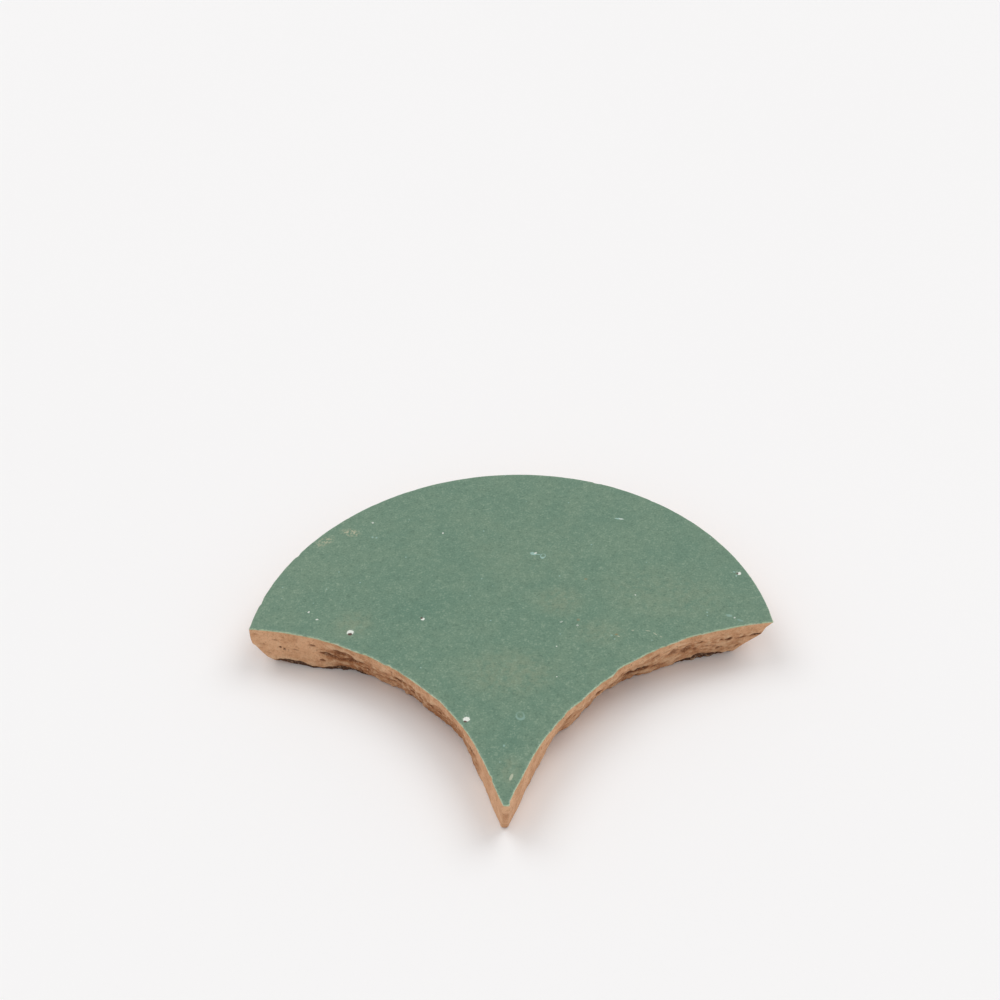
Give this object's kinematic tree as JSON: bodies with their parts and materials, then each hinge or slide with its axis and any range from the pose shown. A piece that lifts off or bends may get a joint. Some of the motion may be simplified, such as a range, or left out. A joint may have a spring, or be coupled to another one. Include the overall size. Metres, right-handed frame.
{
  "type": "fish scale tile",
  "caption": "Fish scale wall or floor tile of hand-cut glazed terracotta: round crown, hollow flanks that straighten out to a narrow blunt tip, sea-green gloss face over a bare undercut clay edge.",
  "frame": {"origin": "on the back, under the middle of the glazed face's box", "axes": "+Z out of the glazed face, +Y from the tip to the top of the crown, +X along the line through the two corners"},
  "size_m": [0.12, 0.105, 0.011],
  "materials": {
    "glazed_terracotta": "mottled sea-green gloss glaze on the face, bare pale terracotta on the sides and back"
  },
  "bodies": {
    "root": {"fish_scale_tile": "glazed_terracotta"}
  },
  "joints": []
}
